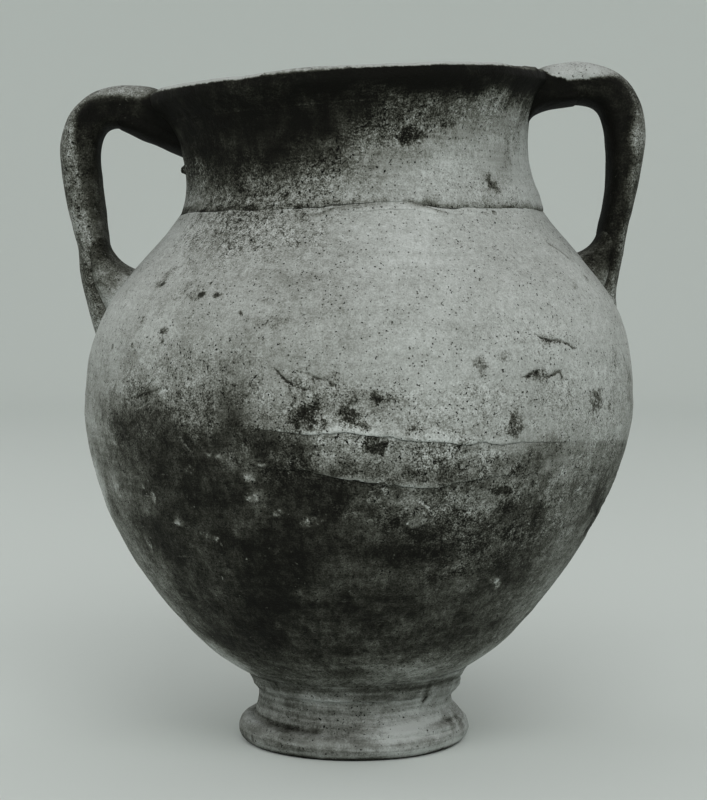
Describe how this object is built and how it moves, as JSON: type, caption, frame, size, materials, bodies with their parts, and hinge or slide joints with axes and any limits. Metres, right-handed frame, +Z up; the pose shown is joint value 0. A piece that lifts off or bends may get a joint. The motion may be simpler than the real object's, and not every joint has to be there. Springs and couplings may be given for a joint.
{
  "type": "footed storage jar",
  "caption": "Round-bellied clay storage jar on a rolled ring foot, with a leaning flared neck, a flat-topped rim and a strap handle on each side, for keeping or mixing liquids and grain.",
  "frame": {"origin": "centre of the foot ring's resting face, on the floor", "axes": "+Z up the body's axis, X through the handles with the left handle at -X, +Y away from the viewer of the picture"},
  "size_m": [0.4624, 0.439, 0.538],
  "materials": {
    "shoulder_clay": "matte fired clay, pale, with dark pits",
    "neck_clay": "matte fired clay, dark under the rim",
    "lower_clay": "matte fired clay, dark stained",
    "foot_clay": "matte fired clay, worn",
    "handle_clay": "matte fired clay, dark, worn pale on top"
  },
  "bodies": {
    "root": {"foot_ring": "foot_clay", "foot_stem": "foot_clay", "foot_collar": "foot_clay", "foot_inner_coil": "foot_clay", "base_disc": "lower_clay", "floor_coil": "lower_clay", "lower_body": "lower_clay", "belly_course": "lower_clay", "shoulder": "shoulder_clay", "neck_band": "shoulder_clay", "neck": "neck_clay", "rim": "neck_clay", "left_handle": "handle_clay", "left_handle_upper_wad": "handle_clay", "left_handle_lower_wad": "handle_clay", "right_handle": "handle_clay", "right_handle_upper_wad": "handle_clay", "right_handle_lower_wad": "handle_clay"}
  },
  "joints": []
}
